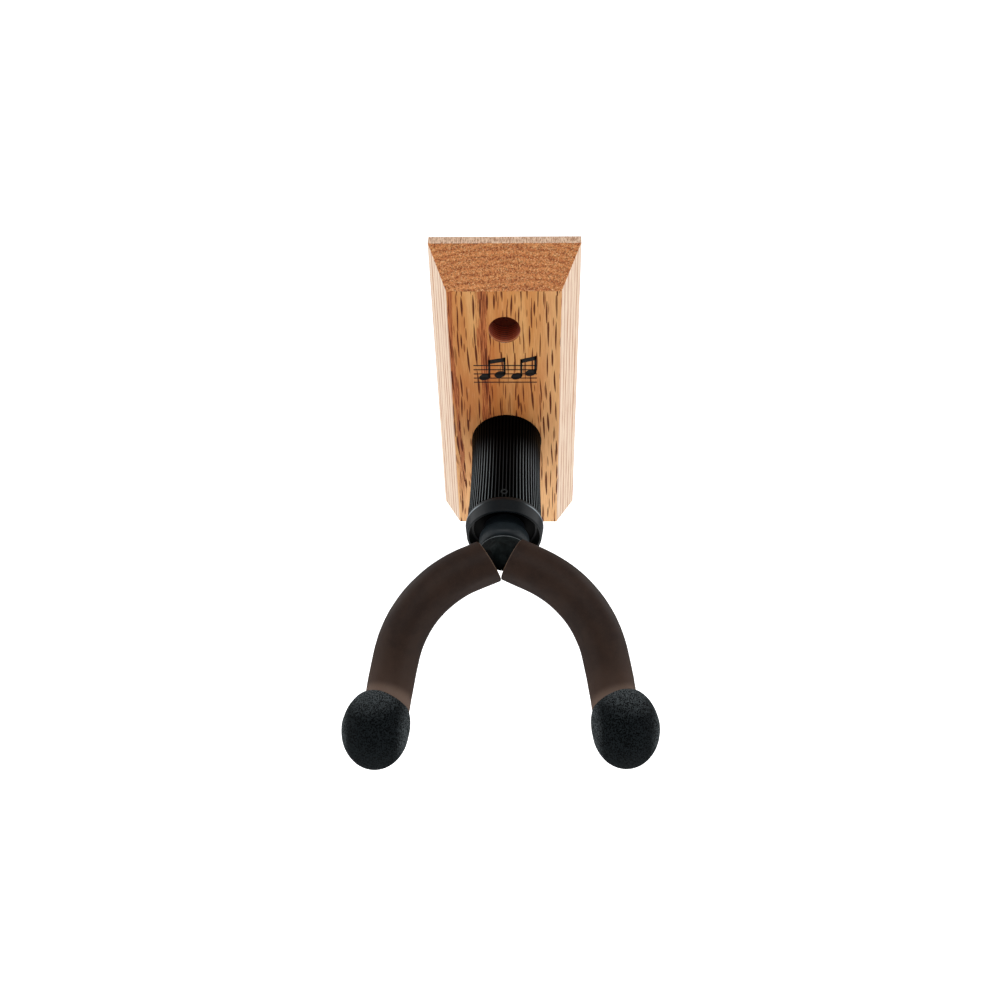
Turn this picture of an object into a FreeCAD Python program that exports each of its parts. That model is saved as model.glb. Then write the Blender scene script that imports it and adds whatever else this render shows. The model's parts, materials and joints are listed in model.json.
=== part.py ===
import FreeCAD, Part
import Sketcher
import math
import os

# Wall guitar hanger. Row frame, millimetres: origin at the centre of the back
# face of the wooden plate, +X to the right, +Z up, the hanger stands out to -Y.
# "out" is always a distance from the wall. The yoke is at rest with its arms
# sloping down and away from the pivot.

DIMS = {
    # wooden plate
    "plate_width": 44.45, "plate_height": 105.4, "plate_thick": 19.05,
    "edge_thick": 3.35, "bevel_inset": 5.85, "edge_round": 0.35,
    "screw_spacing": 66.8, "screw_hole_r": 2.4, "screw_recess_r": 4.7, "screw_recess_deep": 8.0,
    "pivot_drop": 10.15, "pivot_bore_r": 6.1, "nut_recess_r": 11.0, "nut_recess_deep": 12.0,
    # ribbed sleeve and its cup-shaped collar
    "sleeve_root_r": 10.9, "sleeve_front_r": 10.95, "sleeve_waist_arc": 430.0,
    "sleeve_front_out": 54.8, "spigot_r": 9.0, "spigot_out": 57.2, "sleeve_bore_r": 6.05,
    "groove_deep": 0.55, "groove_half": 0.5, "groove_count": 64,
    "collar_back_out": 54.85, "collar_back_r": 11.2, "collar_wide_out": 56.6, "collar_wide_r": 11.5,
    "rim_out": 60.6, "rim_r": 10.95, "opening_r": 10.3, "recess_r": 9.6, "collar_seat_r": 9.05,
    "collar_floor_out": 57.3, "collar_round": 0.9, "rim_round": 0.25,
    # bushes
    "shaft_bore_r": 4.05, "bush_r": 6.0, "bush_rear_out": 42.0, "bush_neck_out": 60.2,
    "bush_head_out": 61.4, "bush_head_r": 7.3, "bush_front_out": 65.7,
    "head_front_round": 1.6, "head_back_round": 0.9,
    "rear_bush_face_out": 10.5, "rear_bush_flange_r": 8.6, "rear_bush_end_out": 32.0,
    # pivot stud and its hardware
    "stud_r": 4.0, "stud_rear_out": 0.9, "stud_front_out": 69.4, "stud_chamfer": 0.6,
    "thread_deep": 0.55, "thread_pitch": 1.25, "thread_count": 6, "thread_first_out": 2.0,
    "thrust_back_out": 65.78, "thrust_thick": 0.47, "thrust_r": 6.5,
    "washer_bore_r": 4.2, "nylon_washer_out": 9.35, "nylon_washer_thick": 1.07, "nylon_washer_r": 7.6,
    "steel_washer_out": 7.7, "steel_washer_thick": 1.6, "steel_washer_r": 8.0,
    "nut_front_out": 7.65, "nut_flats": 13.0, "nut_hex_rear_out": 2.9, "nut_rear_out": 1.4,
    "nut_crown_r": 5.9, "nut_bore_r": 4.03, "nut_pocket_r": 5.25, "nut_pocket_out": 3.15,
    "nut_lip_r": 4.9, "nut_lip_out": 1.6, "insert_r": 5.2, "insert_rear_out": 1.7, "insert_front_out": 3.05,
    # fork
    "hub_back_out": 66.3, "hub_flange_r": 7.2, "hub_flange_thick": 0.65, "hub_round": 0.28,
    "hub_root_r": 6.5, "hub_nose_r": 4.1, "hub_ball_r": 4.3,
    "stud_socket_r": 4.02, "stud_socket_deep": 3.2, "rod_socket_r": 3.2,
    "end_gap": 0.02, "tube_gap": 0.12, "seat_reach": 12.0,
    "fork_out": 72.0, "fork_lift": 4.5, "fork_droop": 27.0,
    "left_splay": 67.0, "right_splay": 65.4, "left_bend": 56.4, "right_bend": 53.9,
    "rod_r": 3.175, "rod_start": 2.9, "bend_start": 10.0, "bend_radius": 34.1,
    "arm_straight": 8.3, "tip_radius": 20.0, "tip_angle": 5.5, "rod_tip": 13.6,
    # rubber tubes and end balls
    "tube_r": 6.35, "tube_bore_r": 3.3, "tube_start": 3.35, "tube_tip": 4.9, "tube_round": 0.5,
    "ball_centre": 10.6, "ball_long_r": 10.2, "ball_round_r": 9.25, "ball_back": 7.4,
    "socket_r": 6.45, "socket_deep": 2.4, "ball_bore_r": 3.3, "ball_bore_tip": 3.4,
}

doc = FreeCAD.newDocument("guitar_hanger")


def make_sheet():
    """Write every driving dimension to the sheet, one aliased cell each."""
    sheet = doc.addObject("Spreadsheet::Sheet", "dims")
    for row, (alias, number) in enumerate(DIMS.items(), start=1):
        sheet.set("A%d" % row, alias)
        sheet.set("B%d" % row, str(number))
        sheet.setAlias("B%d" % row, alias)
    return sheet


def term(*names):
    """Sum of named dimensions (a leading minus subtracts): its value and its expression."""
    value = 0.0
    expression = ""
    for name in names:
        sign = -1.0 if name.startswith("-") else 1.0
        alias = name.lstrip("-")
        value += sign * DIMS[alias]
        expression += ("-" if sign < 0 else "+") + "dims." + alias
    return value, expression.lstrip("+")


ZERO = (0.0, "0")


def out(*names):
    """A coordinate on the outward side of the wall, at the summed distance from it."""
    value, expression = term(*names)
    return -value, "-(%s)" % expression


def bind(obj, prop, expression):
    obj.setExpression(prop, expression)


def origin_plane(body, role):
    for feature in body.Origin.OriginFeatures:
        if feature.Role == role:
            return feature
    raise ValueError(role)


def new_body(label, drop="pivot_drop"):
    """A body whose origin is on the wall at the pivot's height, or at the plate's centre."""
    body = doc.addObject("PartDesign::Body", label)
    body.Label = label
    if drop:
        body.Placement.Base.z = -DIMS[drop]
        bind(body, "Placement.Base.z", "-dims.%s" % drop)
    return body


def new_sketch(body, role, name, offset=None):
    """A sketch on one of the body's own origin planes, moved along its normal by an expression."""
    sketch = body.newObject("Sketcher::SketchObject", name)
    sketch.AttachmentSupport = [(origin_plane(body, role), "")]
    sketch.MapMode = "FlatFace"
    if offset:
        bind(sketch, "AttachmentOffset.Base.z", offset)
    return sketch


def fix_point(sketch, geo, pos, x, y):
    """Pin a sketch point to two bound coordinates."""
    for kind, (value, expression) in (("DistanceX", x), ("DistanceY", y)):
        index = sketch.addConstraint(Sketcher.Constraint(kind, geo, pos, value))
        if expression != "0":
            bind(sketch, "Constraints[%d]" % index, expression)


def closed_profile(sketch, points, arcs=None):
    """A closed outline through bound points; arcs maps an edge number to (radius name, side)."""
    arcs = arcs or {}
    count = len(points)
    for i in range(count):
        start = FreeCAD.Vector(points[i][0][0], points[i][1][0], 0)
        end = FreeCAD.Vector(points[(i + 1) % count][0][0], points[(i + 1) % count][1][0], 0)
        if i in arcs:
            radius, side = arcs[i]
            sketch.addGeometry(shallow_arc(start, end, DIMS[radius], side), False)
        else:
            sketch.addGeometry(Part.LineSegment(start, end), False)
    for i in range(count):
        ends = edge_ends(i, arcs)
        following = edge_ends((i + 1) % count, arcs)
        sketch.addConstraint(
            Sketcher.Constraint("Coincident", i, ends[1], (i + 1) % count, following[0]))
        fix_point(sketch, i, ends[0], points[i][0], points[i][1])
    for i, (radius, _side) in arcs.items():
        index = sketch.addConstraint(Sketcher.Constraint("Radius", i, DIMS[radius]))
        bind(sketch, "Constraints[%d]" % index, "dims.%s" % radius)


def edge_ends(index, arcs):
    """Which point numbers are an edge's first and last point; a clockwise arc swaps them."""
    if index in arcs and arcs[index][1] < 0:
        return 2, 1
    return 1, 2


def shallow_arc(start, end, radius, side):
    """An arc from start to end; side +1 puts its middle left of the chord, -1 right of it."""
    chord = end - start
    half = chord.Length / 2.0
    sagitta = radius - math.sqrt(radius * radius - half * half)
    normal = FreeCAD.Vector(-chord.y, chord.x, 0).normalize()
    middle = (start + end) * 0.5 + normal * (-side * sagitta)
    return Part.Arc(start, middle, end)


def circle_at(sketch, x, z, radius):
    index = sketch.addGeometry(
        Part.Circle(FreeCAD.Vector(x[0], z[0], 0), FreeCAD.Vector(0, 0, 1), DIMS[radius]), False)
    fix_point(sketch, index, 3, x, z)
    size = sketch.addConstraint(Sketcher.Constraint("Radius", index, DIMS[radius]))
    bind(sketch, "Constraints[%d]" % size, "dims.%s" % radius)


def rectangle(sketch, half_x, half_z):
    """A rectangle centred on the sketch origin, from bound half sizes."""
    minus_x = (-half_x[0], "-(%s)" % half_x[1])
    minus_z = (-half_z[0], "-(%s)" % half_z[1])
    closed_profile(sketch, [(minus_x, minus_z), (half_x, minus_z), (half_x, half_z), (minus_x, half_z)])


def revolve(body, name, points, arcs=None):
    """Turn an outline of (radius, out) points about the pivot axis."""
    sketch = new_sketch(body, "XY_Plane", name + "_outline")
    closed_profile(sketch, points, arcs)
    feature = body.newObject("PartDesign::Revolution", name)
    feature.Profile = sketch
    feature.ReferenceAxis = (sketch, ["V_Axis"])
    feature.Angle = 360.0
    doc.recompute()
    return feature


def ring_edges(shape, wanted):
    """Names of the circular edges at the given (radius, out) places."""
    names = []
    for number, edge in enumerate(shape.Edges, start=1):
        if not isinstance(edge.Curve, Part.Circle):
            continue
        for radius, distance in wanted:
            same_r = abs(edge.Curve.Radius - radius) < 0.01
            if same_r and abs(edge.Curve.Center.y + distance) < 0.01:
                names.append("Edge%d" % number)
    return names


def round_rings(body, base, places, radius):
    """Fillet the circular edges at the named (radius, out) places."""
    wanted = [(DIMS[r], DIMS[o]) for r, o in places]
    feature = body.newObject("PartDesign::Fillet", base.Name + "_" + radius)
    feature.Base = (base, ring_edges(base.Shape, wanted))
    feature.Radius = DIMS[radius]
    bind(feature, "Radius", "dims.%s" % radius)
    doc.recompute()
    return feature


def pocket(body, sketch, name, depth=None, reverse=False):
    """Cut a sketch into the body: a bound depth, or right through; it has to remove material."""
    before = body.Shape.Volume
    feature = body.newObject("PartDesign::Pocket", name)
    feature.Profile = sketch
    feature.Reversed = reverse
    if depth:
        feature.Length = DIMS[depth]
        bind(feature, "Length", "dims.%s" % depth)
    else:
        feature.Type = "ThroughAll"
    doc.recompute()
    if body.Shape.Volume >= before - 1e-3:
        raise RuntimeError(name + " removes nothing")
    return feature


def half(name):
    value, expression = term(name)
    return value / 2.0, "%s/2" % expression


def make_backplate():
    """Oak plate: a square edge at the wall, a steep bevel all round, screw holes, pivot bore."""
    body = new_body("oak_backplate", drop=None)
    slab = new_sketch(body, "XZ_Plane", "plate_back")
    rectangle(slab, half("plate_width"), half("plate_height"))
    pad = body.newObject("PartDesign::Pad", "square_edge")
    pad.Profile = slab
    bind(pad, "Length", "dims.edge_thick")
    doc.recompute()
    inset = "dims.bevel_inset"
    face_x = (half("plate_width")[0] - DIMS["bevel_inset"], "dims.plate_width/2-" + inset)
    face_z = (half("plate_height")[0] - DIMS["bevel_inset"], "dims.plate_height/2-" + inset)
    low = new_sketch(body, "XZ_Plane", "bevel_foot", "dims.edge_thick")
    rectangle(low, half("plate_width"), half("plate_height"))
    high = new_sketch(body, "XZ_Plane", "bevel_top", "dims.plate_thick")
    rectangle(high, face_x, face_z)
    loft = body.newObject("PartDesign::AdditiveLoft", "bevelled_front")
    loft.Profile = low
    loft.Sections = [high]
    loft.Ruled = True
    doc.recompute()
    softened = soften_plate(body, loft)
    bore_plate(body)
    return body, softened


def soften_plate(body, base):
    """Ease every straight edge that isn't on the back face."""
    names = []
    for number, edge in enumerate(base.Shape.Edges, start=1):
        if max(vertex.Y for vertex in edge.Vertexes) < -0.5:
            names.append("Edge%d" % number)
    feature = body.newObject("PartDesign::Fillet", "eased_edges")
    feature.Base = (base, names)
    bind(feature, "Radius", "dims.edge_round")
    doc.recompute()
    return feature


def bore_plate(body):
    up = half("screw_spacing")
    down = (-up[0], "-(%s)" % up[1])
    pivot = out("pivot_drop")
    holes = new_sketch(body, "XZ_Plane", "screw_holes", "dims.plate_thick")
    circle_at(holes, ZERO, up, "screw_hole_r")
    circle_at(holes, ZERO, down, "screw_hole_r")
    pocket(body, holes, "screw_clearance")
    heads = new_sketch(body, "XZ_Plane", "screw_heads", "dims.plate_thick")
    circle_at(heads, ZERO, up, "screw_recess_r")
    circle_at(heads, ZERO, down, "screw_recess_r")
    pocket(body, heads, "screw_recesses", "screw_recess_deep")
    centre = new_sketch(body, "XZ_Plane", "pivot_circle", "dims.plate_thick")
    circle_at(centre, ZERO, pivot, "pivot_bore_r")
    pocket(body, centre, "pivot_bore")
    rear = new_sketch(body, "XZ_Plane", "nut_circle")
    circle_at(rear, ZERO, pivot, "nut_recess_r")
    pocket(body, rear, "nut_recess", "nut_recess_deep", reverse=True)


def make_sleeve():
    """Slightly waisted barrel with fine lengthwise grooves and a spigot for the collar."""
    body = new_body("ribbed_sleeve")
    revolve(body, "barrel", [
        (term("sleeve_bore_r"), out("plate_thick")),
        (term("sleeve_root_r"), out("plate_thick")),
        (term("sleeve_front_r"), out("sleeve_front_out")),
        (term("spigot_r"), out("sleeve_front_out")),
        (term("spigot_r"), out("spigot_out")),
        (term("sleeve_bore_r"), out("spigot_out")),
    ], {1: ("sleeve_waist_arc", 1)})
    notch = new_sketch(body, "XZ_Plane", "groove_notch", "dims.sleeve_front_out")
    wide = term("groove_half")
    closed_profile(notch, [
        ((-wide[0], "-(%s)" % wide[1]), term("sleeve_front_r", "groove_half")),
        (ZERO, term("sleeve_front_r", "-groove_deep", "-groove_half")),
        (wide, term("sleeve_front_r", "groove_half")),
    ])
    first = pocket(body, notch, "first_groove")
    pattern = body.newObject("PartDesign::PolarPattern", "grooves")
    pattern.Originals = [first]
    pattern.Axis = (origin_plane(body, "Y_Axis"), [""])
    pattern.Angle = 360.0
    pattern.Occurrences = int(DIMS["groove_count"])
    bind(pattern, "Occurrences", "dims.groove_count")
    body.Tip = pattern
    doc.recompute()
    return body


def make_collar():
    """Cup-shaped ring on the sleeve's spigot, open to the front with a thin rim."""
    body = new_body("cup_collar")
    ring = revolve(body, "cup", [
        (term("collar_seat_r"), out("collar_back_out")),
        (term("collar_back_r"), out("collar_back_out")),
        (term("collar_wide_r"), out("collar_wide_out")),
        (term("rim_r"), out("rim_out")),
        (term("opening_r"), out("rim_out")),
        (term("recess_r"), out("collar_floor_out")),
        (term("collar_seat_r"), out("collar_floor_out")),
    ])
    rounded = round_rings(body, ring, [("collar_back_r", "collar_back_out")], "collar_round")
    round_rings(body, rounded, [("rim_r", "rim_out"), ("opening_r", "rim_out")], "rim_round")
    return body


def make_front_bush():
    """Bush with a bell-shaped head that shows inside the collar."""
    body = new_body("front_bush")
    bell = revolve(body, "bell", [
        (term("shaft_bore_r"), out("bush_rear_out")),
        (term("bush_r"), out("bush_rear_out")),
        (term("bush_r"), out("bush_neck_out")),
        (term("bush_head_r"), out("bush_head_out")),
        (term("bush_head_r"), out("bush_front_out")),
        (term("shaft_bore_r"), out("bush_front_out")),
    ])
    front = round_rings(body, bell, [("bush_head_r", "bush_front_out")], "head_front_round")
    round_rings(body, front, [("bush_head_r", "bush_head_out")], "head_back_round")
    return body


def make_rear_bush():
    """Flanged bush that lines the wooden plate and the rear of the sleeve."""
    body = new_body("rear_bush")
    revolve(body, "flanged", [
        (term("shaft_bore_r"), out("rear_bush_face_out")),
        (term("rear_bush_flange_r"), out("rear_bush_face_out")),
        (term("rear_bush_flange_r"), out("nut_recess_deep")),
        (term("bush_r"), out("nut_recess_deep")),
        (term("bush_r"), out("rear_bush_end_out")),
        (term("shaft_bore_r"), out("rear_bush_end_out")),
    ])
    return body


def make_stud():
    """Steel pivot stud with thread grooves at its wall end."""
    body = new_body("pivot_stud")
    shaft = revolve(body, "shaft", [
        (ZERO, out("stud_rear_out")),
        (term("stud_r", "-stud_chamfer"), out("stud_rear_out")),
        (term("stud_r"), out("stud_rear_out", "stud_chamfer")),
        (term("stud_r"), out("stud_front_out")),
        (ZERO, out("stud_front_out")),
    ])
    outline = new_sketch(body, "XY_Plane", "thread_notch")
    closed_profile(outline, [
        (term("stud_r", "thread_deep"), out("thread_first_out", "-thread_deep")),
        (term("stud_r", "-thread_deep"), out("thread_first_out")),
        (term("stud_r", "thread_deep"), out("thread_first_out", "thread_deep")),
    ])
    groove = body.newObject("PartDesign::Groove", "thread_groove")
    groove.Profile = outline
    groove.ReferenceAxis = (outline, ["V_Axis"])
    groove.Angle = 360.0
    doc.recompute()
    pattern = body.newObject("PartDesign::LinearPattern", "thread")
    pattern.Originals = [groove]
    pattern.Direction = (origin_plane(body, "Y_Axis"), [""])
    pattern.Reversed = True
    pattern.Length = DIMS["thread_pitch"] * (DIMS["thread_count"] - 1)
    bind(pattern, "Length", "dims.thread_pitch*(dims.thread_count-1)")
    pattern.Occurrences = int(DIMS["thread_count"])
    bind(pattern, "Occurrences", "dims.thread_count")
    body.Tip = pattern
    doc.recompute()
    if body.Shape.Volume >= shaft.Shape.Volume:
        raise RuntimeError("thread grooves remove nothing")
    return body


def make_lock_nut():
    """Hexagon nut with a round crown and a pocket for its locking ring."""
    body = new_body("lock_nut")
    flats = new_sketch(body, "XZ_Plane", "hexagon", "dims.nut_hex_rear_out")
    corner = DIMS["nut_flats"] / math.sqrt(3.0)
    points = []
    for i in range(6):
        cosine = math.cos(math.radians(60 * i))
        sine = math.sin(math.radians(60 * i))
        points.append(((corner * cosine, "dims.nut_flats/sqrt(3)*(%.9f)" % cosine),
                       (corner * sine, "dims.nut_flats/sqrt(3)*(%.9f)" % sine)))
    closed_profile(flats, points)
    hexagon = body.newObject("PartDesign::Pad", "hexagon_block")
    hexagon.Profile = flats
    bind(hexagon, "Length", "dims.nut_front_out-dims.nut_hex_rear_out")
    doc.recompute()
    revolve(body, "crown", [
        (ZERO, out("nut_hex_rear_out")),
        (term("nut_crown_r"), out("nut_hex_rear_out")),
        (term("nut_crown_r"), out("nut_lip_out")),
        (term("nut_lip_r", "thread_deep"), out("nut_rear_out")),
        (ZERO, out("nut_rear_out")),
    ])
    hollow = new_sketch(body, "XY_Plane", "nut_hollow")
    closed_profile(hollow, [
        (ZERO, out("nut_front_out")),
        (term("nut_bore_r"), out("nut_front_out")),
        (term("nut_bore_r"), out("nut_pocket_out")),
        (term("nut_pocket_r"), out("nut_pocket_out")),
        (term("nut_pocket_r"), out("nut_lip_out")),
        (term("nut_lip_r"), out("nut_lip_out")),
        (term("nut_lip_r"), out("nut_rear_out")),
        (ZERO, out("nut_rear_out")),
    ])
    groove = body.newObject("PartDesign::Groove", "nut_bore")
    groove.Profile = hollow
    groove.ReferenceAxis = (hollow, ["V_Axis"])
    groove.Angle = 360.0
    doc.recompute()
    return body


def make_ring(label, inner, outer, rear, front):
    """A plain ring between two distances from the wall, each a tuple of dimension names."""
    body = new_body(label)
    revolve(body, label + "_ring", [
        (term(inner), out(*rear)),
        (term(outer), out(*rear)),
        (term(outer), out(*front)),
        (term(inner), out(*front)),
    ])
    return body


def yoke_base():
    """Where the two arms' centre lines meet."""
    return FreeCAD.Vector(0, -DIMS["fork_out"], DIMS["fork_lift"] - DIMS["pivot_drop"])


def of_side(side, name):
    """The name of a dimension that the left and right arms have each their own of."""
    return ("right_" if side > 0 else "left_") + name


def arm_rotation(side):
    """Turns the plane of the arms down from the wall's normal; the left arm is a flipped right one."""
    droop = FreeCAD.Rotation(FreeCAD.Vector(1, 0, 0), DIMS["fork_droop"])
    flip = FreeCAD.Rotation(FreeCAD.Vector(0, 1, 0), 0 if side > 0 else 180)
    splay = FreeCAD.Rotation(FreeCAD.Vector(0, 0, 1), DIMS[of_side(side, "splay")] - 180)
    return droop.multiply(flip).multiply(splay)


def place_arm(obj, side, local=None):
    """Place an object in the arm's own frame: +Y along the arm as it leaves the hub."""
    placement = FreeCAD.Placement(yoke_base(), arm_rotation(side))
    if local is not None:
        placement = placement.multiply(local)
    obj.Placement = placement


def arm_path(body, side, start, tip):
    """Centre line of an arm: straight, a wide bend, straight, a small outward bend, straight."""
    sketch = new_sketch(body, "XY_Plane", body.Label + "_path")
    bend_name = of_side(side, "bend")
    bend = math.radians(DIMS[bend_name])
    flare = bend - math.radians(DIMS["tip_angle"])
    radius = DIMS["bend_radius"]
    first = FreeCAD.Vector(0, DIMS[start], 0)
    second = FreeCAD.Vector(0, DIMS["bend_start"], 0)
    middle = second + FreeCAD.Vector(radius - radius * math.cos(bend / 2), radius * math.sin(bend / 2), 0)
    third = second + FreeCAD.Vector(radius - radius * math.cos(bend), radius * math.sin(bend), 0)
    along = FreeCAD.Vector(math.sin(bend), math.cos(bend), 0)
    fourth = third + along * DIMS["arm_straight"]
    turn = FreeCAD.Vector(-math.cos(bend), math.sin(bend), 0) * DIMS["tip_radius"]
    centre = fourth + turn
    fifth = centre - FreeCAD.Vector(-math.cos(flare), math.sin(flare), 0) * DIMS["tip_radius"]
    between = (bend + flare) / 2
    halfway = centre - FreeCAD.Vector(-math.cos(between), math.sin(between), 0) * DIMS["tip_radius"]
    outward = FreeCAD.Vector(math.sin(flare), math.cos(flare), 0)
    sixth = fifth + outward * DIMS[tip]
    sketch.addGeometry(Part.LineSegment(first, second), False)
    sketch.addGeometry(Part.Arc(second, middle, third), False)
    sketch.addGeometry(Part.LineSegment(third, fourth), False)
    sketch.addGeometry(Part.Arc(fourth, halfway, fifth), False)
    sketch.addGeometry(Part.LineSegment(fifth, sixth), False)
    constrain_path(sketch, bend_name, start, tip)
    return sketch, sixth, outward


def constrain_path(sketch, bend_name, start, tip):
    """Tie the path to the sheet: its bends are tangent, its lengths and angles are bound."""
    fix_point(sketch, 0, 1, ZERO, term(start))
    fix_point(sketch, 0, 2, ZERO, term("bend_start"))
    sketch.addConstraint(Sketcher.Constraint("Tangent", 0, 2, 1, 2))
    sketch.addConstraint(Sketcher.Constraint("Tangent", 1, 1, 2, 1))
    sketch.addConstraint(Sketcher.Constraint("Tangent", 2, 2, 3, 1))
    sketch.addConstraint(Sketcher.Constraint("Tangent", 3, 2, 4, 1))
    for kind, geo, name in (("Radius", 1, "bend_radius"), ("Distance", 2, "arm_straight"),
                            ("Radius", 3, "tip_radius"), ("Distance", 4, tip)):
        index = sketch.addConstraint(Sketcher.Constraint(kind, geo, DIMS[name]))
        bind(sketch, "Constraints[%d]" % index, "dims.%s" % name)
    for geo, turned, expression in (
            (2, DIMS[bend_name], "(90-dims.%s)*1deg" % bend_name),
            (4, DIMS[bend_name] - DIMS["tip_angle"], "(90-dims.%s+dims.tip_angle)*1deg" % bend_name)):
        index = sketch.addConstraint(Sketcher.Constraint("Angle", geo, math.radians(90 - turned)))
        bind(sketch, "Constraints[%d]" % index, expression)


def sweep_arm(label, side, radii, start, tip):
    """Sweep one circle, or two for a hollow tube, along the arm's centre line."""
    body = new_body(label, drop=None)
    place_arm(body, side)
    path, _end, _direction = arm_path(body, side, start, tip)
    profile = new_sketch(body, "XZ_Plane", label + "_profile", "-dims.%s" % start)
    for radius in radii:
        circle_at(profile, ZERO, ZERO, radius)
    doc.recompute()
    pipe = body.newObject("PartDesign::AdditivePipe", label + "_sweep")
    pipe.Profile = profile
    pipe.Spine = (path, ["Edge%d" % number for number in range(1, 6)])
    doc.recompute()
    return body, pipe


def end_edges(shape, radius):
    """The outer circular edges at the two ends of a swept tube."""
    return ["Edge%d" % number for number, edge in enumerate(shape.Edges, start=1)
            if isinstance(edge.Curve, Part.Circle) and edge.isClosed()
            and abs(edge.Curve.Radius - radius) < 0.01]


def make_tube(label, side):
    """Rubber tube over an arm, its two outer rims eased."""
    body, pipe = sweep_arm(label, side, ["tube_r", "tube_bore_r"], "tube_start", "tube_tip")
    rims = [name for name in end_edges(pipe.Shape, DIMS["tube_r"]) if is_free_end(pipe.Shape, name)]
    ease = body.newObject("PartDesign::Fillet", label + "_rims")
    ease.Base = (pipe, rims)
    bind(ease, "Radius", "dims.tube_round")
    doc.recompute()
    return body


def is_free_end(shape, name):
    """True for an edge that borders a flat end face."""
    edge = shape.getElement(name)
    for face in shape.Faces:
        if isinstance(face.Surface, Part.Plane) and any(edge.isSame(other) for other in face.Edges):
            return True
    return False


def primitive(kind, name, sizes):
    """A Part primitive with its sizes bound to the sheet."""
    obj = doc.addObject(kind, name)
    for prop, expression in sizes.items():
        bind(obj, prop, expression)
    return obj


def make_ball(label, side):
    """End ball: an egg on the arm's last straight, with a seat for the tube and a bore for the rod."""
    helper = doc.addObject("PartDesign::Body", label + "_axis")
    _path, tip, outward = arm_path(helper, side, "rod_start", "ball_centre")
    facing = FreeCAD.Rotation(FreeCAD.Vector(0, 0, 1), outward)
    local = FreeCAD.Placement(tip, facing)
    egg = primitive("Part::Ellipsoid", label + "_egg", {
        "Radius1": "dims.ball_long_r", "Radius2": "dims.ball_round_r", "Radius3": "dims.ball_round_r"})
    egg.Angle1 = -90
    egg.Angle2 = 90
    egg.Angle3 = 360
    trim = primitive("Part::Cylinder", label + "_trim", {
        "Radius": "dims.ball_round_r", "Height": "dims.ball_long_r"})
    seat = primitive("Part::Cylinder", label + "_seat", {
        "Radius": "dims.socket_r", "Height": "dims.ball_long_r-dims.ball_back+dims.socket_deep"})
    bore = primitive("Part::Cylinder", label + "_bore", {
        "Radius": "dims.ball_bore_r", "Height": "dims.ball_long_r+dims.ball_bore_tip"})
    place_arm(egg, side, local)
    for tool, back in ((trim, DIMS["ball_back"] + DIMS["ball_long_r"]),
                       (seat, DIMS["ball_long_r"]), (bore, DIMS["ball_long_r"])):
        shift = FreeCAD.Placement(FreeCAD.Vector(0, 0, -back), FreeCAD.Rotation())
        place_arm(tool, side, local.multiply(shift))
    tools = doc.addObject("Part::MultiFuse", label + "_tools")
    tools.Shapes = [trim, seat, bore]
    ball = doc.addObject("Part::Cut", label)
    ball.Base = egg
    ball.Tool = tools
    ball.Label = label
    doc.recompute()
    return ball


def make_hub():
    """Fork hub: a round flange that leans forward and up into the ball where the arms start."""
    body = new_body("hub_core")
    flange = revolve(body, "hub_flange", [
        (ZERO, out("hub_back_out")),
        (term("hub_flange_r"), out("hub_back_out")),
        (term("hub_flange_r"), out("hub_back_out", "hub_flange_thick")),
        (ZERO, out("hub_back_out", "hub_flange_thick")),
    ])
    rims = [edge for edge in end_edges(flange.Shape, DIMS["hub_flange_r"])]
    ease = body.newObject("PartDesign::Fillet", "hub_rims")
    ease.Base = (flange, rims)
    bind(ease, "Radius", "dims.hub_round")
    root = new_sketch(body, "XZ_Plane", "hub_root", "dims.hub_back_out+dims.hub_flange_thick/2")
    circle_at(root, ZERO, ZERO, "hub_root_r")
    nose = new_sketch(body, "XZ_Plane", "hub_nose", "dims.fork_out")
    circle_at(nose, ZERO, term("fork_lift"), "hub_nose_r")
    doc.recompute()
    neck = body.newObject("PartDesign::AdditiveLoft", "hub_neck")
    neck.Profile = root
    neck.Sections = [nose]
    doc.recompute()
    ball = primitive("Part::Sphere", "hub_ball", {"Radius": "dims.hub_ball_r"})
    ball.Placement.Base = yoke_base()
    joined = doc.addObject("Part::MultiFuse", "hub_joined")
    joined.Shapes = [body, ball]
    bores = doc.addObject("Part::MultiFuse", "hub_bores")
    bores.Shapes = [stud_socket()] + arm_seats("right", 1) + arm_seats("left", -1)
    hub = doc.addObject("Part::Cut", "fork_hub")
    hub.Base = joined
    hub.Tool = bores
    hub.Label = "fork_hub"
    doc.recompute()
    return hub


def stud_socket():
    """The blind bore that takes the stud, from the hub's rear face."""
    bore = primitive("Part::Cylinder", "stud_socket", {
        "Radius": "dims.stud_socket_r", "Height": "dims.stud_socket_deep+1"})
    base = FreeCAD.Vector(0, 1 - DIMS["hub_back_out"], -DIMS["pivot_drop"])
    bore.Placement = FreeCAD.Placement(base, FreeCAD.Rotation(FreeCAD.Vector(1, 0, 0), 90))
    return bore


def arm_seats(name, side):
    """Cutters for one arm: the shallow socket of its rod, and the room that its tube's end takes."""
    seats = []
    for part, radius, start in (("rod", "dims.rod_socket_r", DIMS["rod_start"] - DIMS["end_gap"]),
                                ("tube", "dims.tube_r+dims.tube_gap", DIMS["tube_start"] - DIMS["tube_gap"])):
        cutter = primitive("Part::Cylinder", "%s_%s_seat" % (name, part), {
            "Radius": radius, "Height": "dims.seat_reach"})
        along = FreeCAD.Rotation(FreeCAD.Vector(1, 0, 0), -90)
        place_arm(cutter, side, FreeCAD.Placement(FreeCAD.Vector(0, start, 0), along))
        seats.append(cutter)
    return seats


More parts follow.
